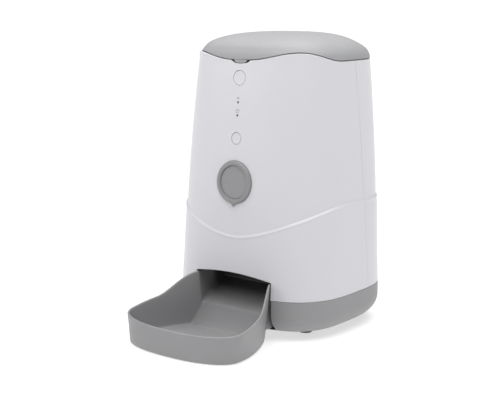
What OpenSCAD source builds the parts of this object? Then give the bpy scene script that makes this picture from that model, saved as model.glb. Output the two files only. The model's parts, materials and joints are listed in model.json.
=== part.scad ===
// Automatic dry-food feeder: a tapered housing on a base, a domed lid over a hopper, a rotor that
// drops portions down a chute, and a bowl that pulls out of the front.
// Frame: +Z up, front is -Y, origin at the middle of the footprint on the floor.

/* [Housing] */
// Half of the housing's width at the top of the base
half_w = 107.5; // [104:0.5:110]
// Half of the housing's width at the rim
rim_half_w = 89.3; // [87:0.1:92]
// Height of the split between base and shells
base_top = 46; // [44:1:50]
// Height of the rim round the rear
rim_z = 304; // [295:1:312]
// Height of the lid's dome above the rear rim
dome_h = 30.6; // [26:0.1:34]
// Wall thickness of the shells
wall = 2.5; // [2:0.1:3]
// Squareness of the plan outline, 2 is an ellipse
corner = 3.13; // [2.6:0.01:3.6]

/* [Outlet and bowl] */
// Half of the outlet's width
outlet_half_w = 53; // [52.8:0.1:55]
// Height of the outlet's arch at its middle
outlet_top = 70.6; // [69:0.1:74]
// How far the bowl reaches in front of the housing's axis
bowl_reach = 204; // [200:1:210]
// Half of the bowl's width at its rim
bowl_half_w = 79.6; // [76:0.1:84]
// Height of the bowl's front rim
bowl_front_z = 28.3; // [26:0.1:36]
// Bowl wall thickness
bowl_wall = 2.6; // [2.2:0.1:3]

/* [Controls] */
// Radius of the feed button
feed_r = 8.1; // [7.6:0.1:9]
// Radius of the pairing button
pair_r = 6.4; // [6:0.1:7]
// Travel of both buttons
press = 1; // [0.6:0.1:1.2]

/* [Dispenser] */
// Inner radius of the rotor's well
well_r = 58; // [56:0.5:60]
// Number of rotor vanes
vanes = 6; // [4:1:8]

/* [Hidden] */
$fn = 48;
// Housing outline: values at the base's top and at the rim
ridge_half_w = 102.1;
skin_step = 1.2;
upper_bulge = 3.38;
depth_low = 0.88;
depth_high = 0.93;
lean = 7.44;
ridge_ref = 154;
ridge_low = 110.4;
ridge_rise = 36;
ridge_span = 80;
rim_front = 1.4;
rim_peak = 10;
rim_peak_angle = 47.2;
rim_fall_angle = 35;
dome_k = 3;
dome_lean = 3.6;
dome_lean_from = 0.345;
dome_p = 2.06;
seam_low = 25;
seam_high = 17;
seam_gap = 0.3;
lid_gap = 0.6;
base_bottom = 6.5;
base_round = 24;
floor_z = base_bottom + wall + 0.2;
cols = 40;
gear_m = 1;
// Rotor, idler and pinion axes behind the housing's axis
rotor_y = 12;
drive_n = 50;
small_n = 14;
large_n = 36;
pinion_n = 12;
idler_y = rotor_y + gear_m * (drive_n + small_n) / 2;
pinion_y = idler_y + gear_m * (large_n + pinion_n) / 2;
deck_z = 112;
deck_t = 3;
well_floor = deck_z + deck_t;
well_top = 152;
hopper_top = 298;
// Lid hinge
hinge_y = 91.3;
hinge_z = 303.9;
hinge_r = 3.5;
pin_r = 1.5;
run_gap = 0.05;
feet_x = 63;
feet_y = 37;
foot_r = 8;
column_spots = [[66, -50], [-66, -50], [60, 52], [-60, 52]];
door_screw = [0, 33];
badge_z = 171.6;
badge_r = 23.8;
board_z = 46;
jack_x = -40;
jack_z = 36;

// ---------- outline functions ----------
function sgn_pow(v, p) = sign(v) * pow(abs(v), p);
function level(z) = (z - base_top) / (rim_z - base_top);
function centre_y(z) = lean * min(level(z), 1);
function depth_k(z) = depth_low + (depth_high - depth_low) * min(level(z), 1);
function lower_w(z) = half_w + (ridge_half_w - half_w) * (z - base_top) / (ridge_ref - base_top);
function upper_u(z) = (z - ridge_ref) / (rim_z - ridge_ref);
function upper_w(z) = let (u = upper_u(min(z, rim_z)))
    (ridge_half_w - skin_step) * (1 - u) + rim_half_w * u + upper_bulge * u * (1 - u);
function dome_shrink(z) = z <= rim_z ? 1 : pow(1 - pow((z - rim_z) / dome_h, dome_p), 1 / dome_k);
// The dome's middle heights sit a little forward, so its front is steeper than its rear
function dome_shift(z) = let (u = ((z - rim_z) / dome_h - dome_lean_from) / (1 - dome_lean_from))
    u <= 0 ? 0 : -dome_lean * pow(sin(180 * u), 2);
// A point of the housing's outline: t is the angle round from the front, s the inward offset
function at_outline(t, w, k, c, s) = [
    (w - s) * sgn_pow(sin(t), 2 / corner),
    c - (w * k - s) * sgn_pow(cos(t), 2 / corner)];
function lower_pt(t, z, s) = concat(at_outline(t, lower_w(z), depth_k(z), centre_y(z), s), [z]);
function upper_pt(t, z, s) =
    concat(at_outline(t, upper_w(z) * dome_shrink(z), depth_k(z), centre_y(z), s), [z]);
// True angle from the front for parameter t, 0 to 180 on either side
function side_angle(t) = atan2(pow(abs(sin(t)), 2 / corner), 0.9 * sgn_pow(cos(t), 2 / corner));
function ridge_z(t) =
    ridge_low + ridge_rise * (1 - cos(180 * min(side_angle(t) / ridge_span, 1))) / 2;
function rim_wave(a) = a < rim_peak_angle
    ? rim_front + (rim_peak - rim_front) * pow((1 - cos(180 * a / rim_peak_angle)) / 2, 1.6)
    : rim_peak * pow((1 + cos(180 * min((a - rim_peak_angle) / rim_fall_angle, 1))) / 2, 1.2);
function rim_at(t) = rim_z - 0.2 + rim_wave(side_angle(t));
function seam_y(z) = seam_low + (seam_high - seam_low) * min(level(z), 1);
// Parameter angle at which the outline meets the seam, moved by a gap
function seam_t(z, w, gap) =
    acos(-sgn_pow((seam_y(z) + gap - centre_y(z)) / (w * depth_k(z)), corner / 2));

// ---------- solids from rings ----------
// Joins closed rings of n points, bottom first, and closes both ends across the ladder i, n-1-i
module loft(rings, tube = false) {
    n = len(rings[0]);
    m = len(rings);
    last = tube ? m - 1 : m - 2;
    sides = [for (j = [0:last], i = [0:n - 1])
        let (k = (i + 1) % n, p = j * n, q = ((j + 1) % m) * n)
        each [[p + i, q + i, q + k], [p + i, q + k, p + k]]];
    half = n / 2;
    low = [for (i = [0:half - 2]) each [[i, i + 1, n - 2 - i], [i, n - 2 - i, n - 1 - i]]];
    top = (m - 1) * n;
    high = [for (f = low) [top + f[2], top + f[1], top + f[0]]];
    polyhedron([for (r = rings) each r], tube ? sides : concat(sides, low, high), convexity = 8);
}
function full_ring(n) = [for (i = [0:n - 1]) (i + 0.5) * 360 / n];
function superellipse(w, d, c, n) = [for (t = full_ring(n))
    [w * sgn_pow(sin(t), 2 / corner), c - d * sgn_pow(cos(t), 2 / corner)]];
module plate(w, d, c, z, h) {
    translate([0, 0, z]) linear_extrude(h) polygon(superellipse(w, d, c, 72));
}

// Heights of a shell's rows at angle t: below the ridge, the bevel, then up to the rim
low_steps = [0, 0.3, 0.6, 0.85, 1];
high_steps = [0, 0.08, 0.2, 0.35, 0.5, 0.65, 0.8, 0.9, 0.96, 1];
bevel_h = 2.8;
function shell_rows(front) = let (
        flip = front ? 0 : 180,
        gap = front ? -seam_gap / 2 : seam_gap / 2,
        lows = [for (f = low_steps) [0, f]],
        highs = [for (f = high_steps) [1, f]],
        edge_low = ridge_low + ridge_rise)
    [for (row = concat(lows, highs))
        let (
            z_edge = row[0] == 0 ? base_top + (edge_low - base_top) * row[1]
                : edge_low + bevel_h + (rim_z - 0.2 - edge_low - bevel_h) * row[1],
            w_edge = row[0] == 0 ? lower_w(z_edge) : upper_w(z_edge),
            seam = seam_t(z_edge, w_edge, gap),
            span = front ? seam : 180 - seam,
            outer = [for (i = [0:cols]) shell_pt(row, flip + span * (2 * i / cols - 1), 0)],
            inner = [for (i = [cols:-1:0]) shell_pt(row, flip + span * (2 * i / cols - 1), wall)])
        concat(outer, inner)];
function shell_pt(row, t, s) = let (
        z = row[0] == 0 ? base_top + (ridge_z(t) - base_top) * row[1]
            : ridge_z(t) + bevel_h + (rim_at(t) - ridge_z(t) - bevel_h) * row[1])
    row[0] == 0 ? lower_pt(t, z, s) : upper_pt(t, z, s);

// ---------- frames ----------
module at_body() {
    translate([0, body_y, 0]) children();
}
function rear_y(z) = centre_y(z) + depth_k(z) * (z > ridge_ref - 6 ? upper_w(z) : lower_w(z));
rear_reach = max([for (z = [base_top:2:rim_z]) rear_y(z)]);
body_y = (bowl_reach - rear_reach) / 2;
function front_y(z) = centre_y(z) - depth_k(z) * upper_w(z);
// The control panel's flat frame: x across, y up the wall, z outward
panel_low = 215;
panel_high = 290;
panel_z = (panel_low + panel_high) / 2;
panel_y = (front_y(panel_low) + front_y(panel_high)) / 2;
panel_tilt = atan((front_y(panel_high) - front_y(panel_low)) / (panel_high - panel_low));
feed_h = (286.2 - panel_z) / cos(panel_tilt);
pair_h = (220 - panel_z) / cos(panel_tilt);
light_h = [259.5 - panel_z, 245.3 - panel_z];
board_d = 9.6;
// Depth of the buttons' stems behind the panel's face
stem_d = 5;
module at_panel(x = 0, h = 0, d = 0) {
    at_body() translate([0, panel_y, panel_z]) rotate([90 - panel_tilt, 0, 0])
        translate([x, h, -d]) children();
}
badge_tilt = atan((front_y(badge_z + badge_r) - front_y(badge_z - badge_r)) / (2 * badge_r));
module at_badge() {
    at_body() translate([0, front_y(badge_z), badge_z]) rotate([90 - badge_tilt, 0, 0]) children();
}
module box(low, high) {
    translate(low) cube(high - low);
}
module rod(x0, x1, y, z, r) {
    translate([x0, y, z]) rotate([0, 90, 0]) cylinder(r = r, h = x1 - x0);
}

// ---------- housing ----------
arch_drop = 4.6;
module outlet_cut() {
    steps = 12;
    arch = [for (i = [0:steps]) let (x = outlet_half_w * (1 - 2 * i / steps))
        [x, outlet_top - arch_drop * pow(x / 50, 2)]];
    translate([0, -70, 0]) rotate([90, 0, 0]) linear_extrude(40)
        polygon(concat([[-outlet_half_w, base_top - 5], [outlet_half_w, base_top - 5]], arch));
}
tab_half_w = 11.2;
tab_drop = 3.4;
module front_shell() {
    color("white") difference() {
        at_body() loft(shell_rows(true));
        at_body() outlet_cut();
        at_body() box([-tab_half_w, -90, rim_z - tab_drop], [tab_half_w, -60, rim_z + 20]);
        at_panel(0, feed_h, 8) cylinder(r = feed_r + 0.3, h = 16);
        at_panel(0, pair_h, 8) cylinder(r = pair_r + 0.3, h = 16);
        for (h = light_h) at_panel(0, h, 8) cylinder(r = 1.3, h = 16);
        at_badge() translate([0, 0, -1.2]) cylinder(r = badge_r + 0.2, h = 10);
    }
}
hinge_half_w = 22;
module rear_shell() {
    color("white") difference() {
        at_body() loft(shell_rows(false));
        at_body() box([-hinge_half_w - 0.6, 80, rim_z - 6], [hinge_half_w + 0.6, 99, rim_z + 9]);
    }
}

// Base: a tray with a large round along its lower edge
function base_inset(z) =
    z >= base_bottom + base_round ? 0
    : base_round - sqrt(pow(base_round, 2) - pow(base_bottom + base_round - z, 2));
function base_ring(z, s) = [for (t = full_ring(72))
    concat(at_outline(t, half_w, depth_low, 0, s), [z])];
module base() {
    outer = [for (a = [0, 6, 16, 28, 42, 58, 75, 90]) let (z = base_bottom + base_round * (1 - cos(a)))
        base_ring(z, a == 90 ? 0 : base_round * (1 - sin(a)))];
    inner = [for (a = [90, 70, 50, 32, 16, 0]) let (r = base_round - wall)
        base_ring(base_bottom + wall + r * (1 - cos(a)), wall + (a == 90 ? 0 : r * (1 - sin(a))))];
    color("gray") difference() {
        at_body() loft(concat(outer, [base_ring(base_top - 0.2, 0), base_ring(base_top - 0.2, wall)],
            inner));
        at_body() box([-outlet_half_w - 0.4, -110, 9.6], [outlet_half_w + 0.4, -60, base_top + 1]);
        at_body() box([-28, -27, 0], [28, 29, 10]);
        at_body() box([-6.8, 28, 0], [6.8, 37.3, 10]);
        at_body() translate([jack_x, 80, jack_z]) rotate([-90, 0, 0]) cylinder(r = 5.2, h = 30);
        for (p = column_spots) at_body() translate([p[0], p[1], 0]) {
            cylinder(r = 3.4, h = 8);
            cylinder(r = 1.9, h = 12);
        }
        for (i = [-2:2]) at_body() box([58 + i * 5 - 1.2, -6, 0], [58 + i * 5 + 1.2, 16, 10]);
    }
}
module feet() {
    color("dimgray") for (x = [-feet_x, feet_x], y = [-feet_y, feet_y]) at_body()
        translate([x, y, 0]) {
            cylinder(r1 = foot_r - 0.6, r2 = foot_r, h = 1);
            translate([0, 0, 1]) cylinder(r = foot_r, h = base_bottom - 1);
        }
}
module base_screws() {
    color("silver") for (p = concat(column_spots, [door_screw])) at_body() translate([p[0], p[1], 0]) {
        translate([0, 0, base_bottom + 0.1]) cylinder(r = 2.9, h = 1.4);
        translate([0, 0, base_bottom + 1.5]) cylinder(r = 1.5, h = 16);
    }
}
module support_columns() {
    color("gainsboro") for (p = column_spots) at_body() translate([p[0], p[1], 0]) difference() {
        translate([0, 0, floor_z]) cylinder(r = 5, h = deck_z - floor_z);
        translate([0, 0, floor_z - 1]) cylinder(r = 1.6, h = 18);
        translate([0, 0, deck_z - 14]) cylinder(r = 1.6, h = 15);
    }
}

// ---------- deck, chute, well and hopper ----------
chute_half_w = 40;
window_y = [rotor_y - 68, rotor_y - 32];
module deck() {
    color("gainsboro") difference() {
        at_body() plate(98, 86.5, 1.9, deck_z, deck_t);
        at_body() box([-chute_half_w + 2, window_y[0] + 2, deck_z - 1],
            [chute_half_w - 2, window_y[1] - 2, deck_z + 5]);
        at_body() translate([0, rotor_y, deck_z - 1]) cylinder(r = 6.1, h = 6);
        for (p = column_spots) at_body() translate([p[0], p[1], deck_z - 1])
            cylinder(r = 1.9, h = 6);
        for (p = gearbox_spots) at_body() translate([p[0], p[1], deck_z - 1])
            cylinder(r = 1.6, h = 6);
        at_body() box([52, -75, deck_z - 1], [61, -72, deck_z + 5]);
    }
}
module deck_screws() {
    color("silver") for (p = column_spots) at_body() translate([p[0], p[1], 0]) {
        translate([0, 0, well_floor]) cylinder(r = 2.9, h = 1.8);
        translate([0, 0, well_floor - 14]) cylinder(r = 1.5, h = 14);
    }
}
module chute_profile(inset) {
    polygon([[window_y[0] + inset, deck_z + (inset > 0 ? 1 : 0)],
        [-88 + inset, outlet_top + 1 - (inset > 0 ? 1 : 0)],
        [-50 - inset, outlet_top + 1 - (inset > 0 ? 1 : 0)],
        [window_y[1] - inset, 96],
        [window_y[1] - inset, deck_z + (inset > 0 ? 1 : 0)]]);
}
module along_x(half) {
    translate([-half, 0, 0]) rotate([90, 0, 90]) linear_extrude(2 * half) children();
}
module outlet_chute() {
    color("silver") difference() {
        at_body() along_x(chute_half_w) chute_profile(0);
        at_body() along_x(chute_half_w - 2) chute_profile(2);
    }
}
module sector(r0, r1, half_angle, z, h) {
    steps = 12;
    out = [for (i = [0:steps]) let (a = -90 - half_angle + 2 * half_angle * i / steps)
        [r1 * cos(a), r1 * sin(a)]];
    in = [for (i = [steps:-1:0]) let (a = -90 - half_angle + 2 * half_angle * i / steps)
        [r0 * cos(a), r0 * sin(a)]];
    translate([0, rotor_y, z]) linear_extrude(h) polygon(concat(out, in));
}
module rotor_well() {
    color("silver") difference() {
        at_body() translate([0, rotor_y, well_floor]) union() {
            cylinder(r = well_r + 2, h = well_top - well_floor, $fn = 72);
            translate([0, 0, well_top - well_floor - 3]) cylinder(r = well_r + 5, h = 3, $fn = 72);
        }
        at_body() translate([0, rotor_y, well_floor + 3]) cylinder(r = well_r, h = 60, $fn = 72);
        at_body() translate([0, rotor_y, well_floor - 1]) cylinder(r = 6.1, h = 6);
        at_body() sector(36, 55.5, 36, well_floor - 1, 6);
    }
}
module flow_shield() {
    color("gray") at_body() sector(15, well_r - 0.1, 44, well_top - 6, 2.5);
}
module rotor_bush() {
    color("goldenrod") difference() {
        at_body() translate([0, rotor_y, deck_z - 0.5]) cylinder(r = 6, h = 6.5);
        at_body() translate([0, rotor_y, deck_z - 2]) cylinder(r = 3 + run_gap, h = 12);
    }
}
hopper_w = 81.5;
hopper_d = 67.5;
hopper_c = 10;
// Hopper ring: f blends from the tall rounded box at 0 to the round mouth at 1
function hopper_ring(z, f, grow) = let (e = 2 / (corner + (2 - corner) * f))
    [for (t = full_ring(48)) [
        (hopper_w + (well_r + 2 - hopper_w) * f + grow) * sgn_pow(sin(t), e),
        hopper_c + (rotor_y - hopper_c) * f
            - (hopper_d + (well_r + 2 - hopper_d) * f + grow) * sgn_pow(cos(t), e), z]];
module hopper() {
    outer = [[well_top, 1, 0], [160, 0.9, 0], [172, 0.55, 0], [186, 0.15, 0], [196, 0, 0],
        [hopper_top - 2.5, 0, 0], [hopper_top - 2.4, 0, 2.5], [hopper_top, 0, 2.5]];
    inner = [[hopper_top, 0, -2], [196, 0, -2], [186, 0.15, -2], [172, 0.55, -2], [160, 0.9, -2],
        [well_top, 1, -2]];
    color("lightgray", 0.6) at_body()
        loft([for (r = concat(outer, inner)) hopper_ring(r[0], r[1], r[2])], tube = true);
}
module level_sensors() {
    color("black") for (x = [-hopper_w - 6.4, hopper_w + 0.4]) at_body()
        box([x, 6, 212], [x + 6, 16, 222]);
}

// ---------- drive ----------
case_z = 88;
gearbox_spots = [[25.5, 46], [-25.5, 46], [17.5, 67], [-17.5, 67]];
module gearbox_form(grow, z0, z1) {
    translate([0, rotor_y, z0]) cylinder(r = 28 + grow, h = z1 - z0);
    translate([0, idler_y, z0]) cylinder(r = 21 + grow, h = z1 - z0);
    translate([0, pinion_y, z0]) cylinder(r = 12 + grow, h = z1 - z0);
}
module gearbox_case() {
    color("dimgray") difference() {
        union() {
            at_body() gearbox_form(2.3, case_z, deck_z);
            for (p = gearbox_spots) at_body() translate([p[0], p[1], case_z])
                cylinder(r = 4, h = deck_z - case_z);
        }
        at_body() gearbox_form(0, case_z + 2.5, deck_z + 1);
        at_body() translate([0, pinion_y, case_z - 1]) cylinder(r = 5.2, h = 5);
        for (p = gearbox_spots) at_body() translate([p[0], p[1], case_z - 1])
            cylinder(r = 1.6, h = 40);
    }
}
module gearbox_screws() {
    color("silver") for (p = gearbox_spots) at_body() translate([p[0], p[1], 0]) {
        translate([0, 0, case_z - 2]) cylinder(r = 2.9, h = 2);
        translate([0, 0, case_z]) cylinder(r = 1.5, h = deck_z + 2 - case_z);
    }
}
// Straight-flanked tooth ring, one tooth centred on start_angle
function gear_outline(n, start_angle) = let (
        pitch = gear_m * n / 2,
        r1 = pitch + 0.85 * gear_m,
        r0 = pitch - 1.2 * gear_m,
        step = 360 / n)
    [for (i = [0:n - 1], q = [[r0, -0.33], [pitch, -0.215], [r1, -0.11], [r1, 0.11],
        [pitch, 0.215], [r0, 0.33]])
        let (a = start_angle + step * (i + q[1])) [q[0] * cos(a), q[0] * sin(a)]];
module gear(n, start_angle, h) {
    linear_extrude(h) polygon(gear_outline(n, start_angle));
}
module drive_gear() {
    color("ivory") difference() {
        at_body() translate([0, rotor_y, 92]) {
            gear(drive_n, 90, 6);
            cylinder(r = 7, h = 12);
        }
        at_body() translate([0, rotor_y, 91]) cylinder(r = 3 + run_gap, h = 20);
    }
}
module idler_gear() {
    color("ivory") difference() {
        at_body() translate([0, idler_y, 0]) {
            translate([0, 0, 91.5]) gear(small_n, -90 + 180 / small_n, 7.5);
            translate([0, 0, 99]) gear(large_n, 90, 5);
        }
        at_body() translate([0, idler_y, 90]) cylinder(r = 1.5 + run_gap, h = 20);
    }
}
module idler_axle() {
    color("silver") at_body() translate([0, idler_y, case_z + 2.5])
        cylinder(r = 1.5, h = deck_z - case_z - 2.5);
}
module motor_pinion() {
    color("ivory") difference() {
        at_body() translate([0, pinion_y, 98.5]) gear(pinion_n, -90 + 180 / pinion_n, 6);
        at_body() translate([0, pinion_y, 98]) cylinder(r = 1 + run_gap, h = 8);
    }
}
module motor() {
    color("silver") at_body() translate([0, pinion_y, 0]) {
        translate([0, 0, case_z - 36]) cylinder(r = 14, h = 36);
        translate([0, 0, case_z]) cylinder(r = 5, h = 2.5);
        translate([0, 0, case_z]) cylinder(r = 1, h = 16);
        translate([0, 0, case_z - 38.5]) cylinder(r = 4, h = 2.5);
    }
}
module motor_screws() {
    color("silver") for (s = [-1, 1]) at_body() translate([s * 8, pinion_y, case_z + 2.5])
        cylinder(r = 2, h = 1.4);
}
module rotor_shaft() {
    color("silver") at_body() translate([0, rotor_y, 91]) cylinder(r = 3, h = 78);
}
rotor_z = 119;
rotor_h = 25;
hub_r = 12;
module rotor() {
    color("whitesmoke") difference() {
        at_body() translate([0, rotor_y, rotor_z]) union() {
            cylinder(r = hub_r, h = rotor_h);
            for (i = [0:vanes - 1]) rotate([0, 0, 90 + i * 360 / vanes])
                translate([hub_r - 3, -1.25, 0.5]) cube([well_r - 1.5 - hub_r + 3, 2.5, rotor_h - 1]);
        }
        at_body() translate([0, rotor_y, rotor_z - 1]) cylinder(r = 3 + run_gap, h = rotor_h + 2);
    }
}
module agitator() {
    color("whitesmoke") difference() {
        at_body() translate([0, rotor_y, rotor_z + rotor_h]) union() {
            cylinder(r = 8, h = 26);
            for (i = [0:2]) rotate([0, 0, 30 + 120 * i]) translate([0, 0, 18 + 2 * i])
                rotate([0, 90, 0]) cylinder(r = 3, h = 34);
        }
        at_body() translate([0, rotor_y, rotor_z + rotor_h - 1]) cylinder(r = 3 + run_gap, h = 27);
    }
}

// ---------- electrics ----------
cell_x = [-21, -7, 7, 21];
cell_z = 18.2;
module battery_box() {
    color("dimgray") difference() {
        union() {
            at_body() box([-31, -32, floor_z], [31, 32, 27]);
            at_body() translate([door_screw[0], door_screw[1], floor_z]) cylinder(r = 5, h = 17.8);
        }
        at_body() box([-28, -27, 8], [28, 29, 25.5]);
        at_body() box([-25, -33, 8], [25, -26, 11.3]);
        at_body() translate([door_screw[0], door_screw[1], 8]) cylinder(r = 1.6, h = 17);
    }
}
module battery_contacts() {
    color("silver") for (x = cell_x) at_body() {
        translate([x, -25.4, cell_z]) rotate([90, 0, 0]) cylinder(r = 4, h = 1.4);
        translate([x, 28.8, cell_z]) rotate([90, 0, 0]) cylinder(r = 4, h = 1.4);
        translate([x, 27.4, cell_z]) rotate([90, 0, 0]) cylinder(r = 3, h = 2.3);
    }
}
module backup_cells() {
    color("steelblue") for (x = cell_x) at_body() {
        translate([x, 25.1, cell_z]) rotate([90, 0, 0]) cylinder(r = 6.9, h = 49.5);
        translate([x, -24.4, cell_z]) rotate([90, 0, 0]) cylinder(r = 2.7, h = 1);
    }
}
module battery_door() {
    color("gray") difference() {
        union() {
            at_body() box([-27.7, -26.7, base_bottom + 0.2], [27.7, 28.7, base_bottom + 2]);
            at_body() box([-6.5, 28, base_bottom + 0.2], [6.5, 37, base_bottom + 2.5]);
            at_body() box([-24, -30, base_bottom + 2.7], [24, -24, base_bottom + 4.2]);
            at_body() box([-24, -26.4, base_bottom + 1], [24, -24, base_bottom + 4.2]);
        }
        at_body() translate([door_screw[0], door_screw[1], 0]) {
            cylinder(r = 3.4, h = 8);
            cylinder(r = 1.9, h = 12);
        }
        for (i = [0:3]) at_body() box([-8, 14 + 2.2 * i, 0], [8, 15 + 2.2 * i, base_bottom + 0.9]);
    }
}
module main_board() {
    color("darkgreen") at_body() box([-45, -32, board_z], [45, 38, board_z + 1.6]);
}
module board_parts() {
    z = board_z + 1.6;
    color("black") at_body() {
        box([-12, -8, z], [8, 12, z + 1.6]);
        box([14, -26, z], [32, -1, z + 3]);
        box([-40, -28, z], [-28, -22, z + 6]);
        box([-6, 28, z], [6, 36, z + 7]);
        box([-44, 24, z], [-34, 35, z + 7]);
        box([36, -20, z], [44, -12, z + 1.6]);
        translate([-26, 10, z]) cylinder(r = 5, h = 13);
        translate([26, 14, z]) cylinder(r = 4, h = 10);
    }
}
board_spots = [[41, -28], [-41, -10], [41, 34], [-41, 14]];
module board_standoffs() {
    color("gainsboro") for (p = board_spots) at_body() translate([p[0], p[1], 0]) difference() {
        translate([0, 0, floor_z]) cylinder(r = 3, h = board_z - floor_z);
        translate([0, 0, board_z - 12]) cylinder(r = 1.3, h = 14);
    }
}
module board_screws() {
    color("silver") for (p = board_spots) at_body() translate([p[0], p[1], board_z + 1.6])
        cylinder(r = 2.6, h = 1.8);
}
module speaker() {
    color("black") at_body() translate([58, 5, 9.3]) {
        difference() {
            cylinder(r = 15, h = 5);
            translate([0, 0, -1]) cylinder(r = 12, h = 4);
        }
        translate([0, 0, 5]) cylinder(r = 8, h = 5);
    }
}
module dc_jack() {
    color("black") {
        difference() {
            union() {
                at_body() box([jack_x - 6, 77, jack_z - 6], [jack_x + 6, 89.4, jack_z + 6]);
                at_body() translate([jack_x, 89, jack_z]) rotate([-90, 0, 0]) cylinder(r = 5, h = 4.4);
            }
            at_body() translate([jack_x, 82, jack_z]) rotate([-90, 0, 0]) cylinder(r = 2.8, h = 20);
        }
        at_body() translate([jack_x, 81, jack_z]) rotate([-90, 0, 0]) cylinder(r = 1, h = 11);
    }
}
module power_leads() {
    color("black") at_body() {
        box([jack_x - 4, 60, jack_z], [jack_x + 4, 76.8, jack_z + 1]);
        box([jack_x - 4, 59, jack_z], [jack_x + 4, 60, 56]);
        box([jack_x - 4, 30, 54.8], [jack_x + 4, 59, 56]);
    }
}
module motor_leads() {
    color("firebrick") at_body() {
        box([-3, 36.2, 50], [3, 63.8, 51]);
        box([-3, 36.2, 49], [3, 37.4, 50]);
    }
}
module panel_ribbon() {
    color("gainsboro") at_body() {
        box([-5, -73.8, 189], [5, -73, 204.6]);
        box([-5, -73.8, 182], [60, -73, 189]);
        box([53, -73.8, 50], [60, -73, 182]);
        box([53, -73.8, 49.4], [60, -12, 50.2]);
        box([36, -20, 49.4], [53, -12, 50.2]);
    }
}

// ---------- control panel ----------
module control_board() {
    color("darkgreen") difference() {
        at_panel(0, 0, board_d + 1.6) translate([-13, -46, 0]) cube([26, 88, 1.6]);
        for (p = bracket_spots) at_panel(p[0], p[1], board_d + 3) cylinder(r = 1.3, h = 4);
    }
}
bracket_spots = [[10, 20], [-10, 20], [10, -17], [-10, -17]];
module control_bracket() {
    color("gainsboro") difference() {
        union() {
            for (p = bracket_spots) at_panel(p[0], p[1], board_d) cylinder(r = 2.6, h = board_d - 3.1);
            for (h = [20, -17]) at_panel(0, h, board_d) translate([-10, -1.2, 0]) cube([20, 2.4, 5]);
        }
        for (p = bracket_spots) at_panel(p[0], p[1], board_d + 1) cylinder(r = 1.1, h = 6);
    }
}
module panel_screws() {
    color("silver") for (p = bracket_spots) {
        at_panel(p[0], p[1], board_d + 3.2) cylinder(r = 2.1, h = 1.6);
        at_panel(p[0], p[1], board_d + 1.6) cylinder(r = 1, h = 5);
    }
}
module tact_switches() {
    color("black") for (h = [feed_h, pair_h]) {
        at_panel(0, h, board_d) translate([-3, -3, 0]) cube([6, 6, 3]);
        at_panel(0, h, board_d - 3) cylinder(r = 1.6, h = board_d - 3 - stem_d - press - 0.2);
    }
}
module light_pipes() {
    color("white") for (h = light_h) {
        at_panel(0, h, board_d - 0.6) cylinder(r = 1.1, h = board_d - 0.6);
        at_panel(0, h, board_d) translate([-1.6, -1, 0]) cube([3.2, 2, 0.6]);
    }
}
module push_button(r, h) {
    at_panel(0, h, 2.4) cylinder(r = r, h = 2.7);
    at_panel(0, h, 2.4) translate([0, 0, 2.7]) cylinder(r1 = r, r2 = r - 0.5, h = 0.4);
    at_panel(0, h, 4.3) cylinder(r = r + 1.1, h = 1.2);
    at_panel(0, h, 3.1) cylinder(r = r, h = 0.8);
    at_panel(0, h, stem_d) cylinder(r = 2, h = 0.8);
}
module feed_button() {
    color("whitesmoke") push_button(feed_r, feed_h);
}
module pair_button() {
    color("whitesmoke") push_button(pair_r, pair_h);
}
disc_r = 18.4;
module badge_ring() {
    color("gray") at_badge() {
        rotate_extrude($fn = 72) polygon([[disc_r + 0.2, -1.2], [badge_r, -1.2], [badge_r, 2],
            [badge_r - 0.7, 2.6], [disc_r + 0.9, 2.6], [disc_r + 0.2, 2]]);
        translate([0, 0, 0.5]) linear_extrude(1.8)
            polygon([[-5, -badge_r + 1.2], [-1.3, -badge_r - 2.4], [0, -badge_r - 3.2],
                [1.3, -badge_r - 2.4], [5, -badge_r + 1.2]]);
    }
}
module badge_disc() {
    color("gray") at_badge() translate([0, 0, -1.2]) cylinder(r = disc_r, h = 2);
}

// ---------- lid, hinge and latch ----------
function dome_pt(t, f, s) = let (
        h = dome_h - s,
        z0 = rim_at(t) + lid_gap,
        rim_f = pow(1 - pow((z0 - rim_z) / h, dome_p), 1 / dome_k),
        p = f * rim_f,
        z = f == 1 ? z0 : rim_z + h * pow(1 - pow(p, dome_k), 1 / dome_p))
    [(rim_half_w - s) * p * sgn_pow(sin(t), 2 / corner),
        lean + dome_shift(z) - (rim_half_w * depth_high - s) * p * sgn_pow(cos(t), 2 / corner),
        z];
module lid_shell() {
    outer = [for (f = [1, 0.99, 0.975, 0.95, 0.91, 0.84, 0.74, 0.6, 0.4, 0.2, 0.04])
        [for (t = full_ring(72)) dome_pt(t, f, 0)]];
    inner = [for (f = [0.04, 0.3, 0.6, 0.8, 0.91, 0.96, 1])
        [for (t = full_ring(72)) dome_pt(t, f, wall)]];
    color("gray") difference() {
        at_body() loft(concat(inner, outer));
        at_body() box([-hinge_half_w - 0.6, 80, rim_z - 6], [hinge_half_w + 0.6, 99, rim_z + 4]);
        at_body() box([-tab_half_w, -90, rim_z - 6], [tab_half_w, -64, rim_z + 5.2]);
    }
}
liner_w = 80.5;
liner_d = 74.5;
liner_z = 300.2;
liner_top = 315.6;
cup_r = 29;
cup_y = 5;
module lid_liner() {
    color("whitesmoke") difference() {
        at_body() plate(liner_w, liner_d, lean, liner_z, liner_top - liner_z);
        difference() {
            at_body() plate(liner_w - 2, liner_d - 2, lean, liner_z + 2.2, liner_top);
            at_body() translate([0, cup_y, liner_z]) cylinder(r = cup_r + 2, h = 13);
        }
        at_body() translate([0, cup_y, liner_z - 1]) cylinder(r = cup_r, h = 12);
        at_body() box([-12.4, -80, liner_z - 1], [12.4, -61, liner_top + 1]);
        at_body() box([-12.2, 70, liner_z + 2.2], [12.2, 90, liner_top + 1]);
    }
}
module lid_seal() {
    color("dimgray") difference() {
        at_body() plate(hopper_w, hopper_d, hopper_c, hopper_top + 0.2, liner_z - hopper_top - 0.2);
        at_body() plate(hopper_w - 6, hopper_d - 6, hopper_c, hopper_top - 1, 5);
    }
}
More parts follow.
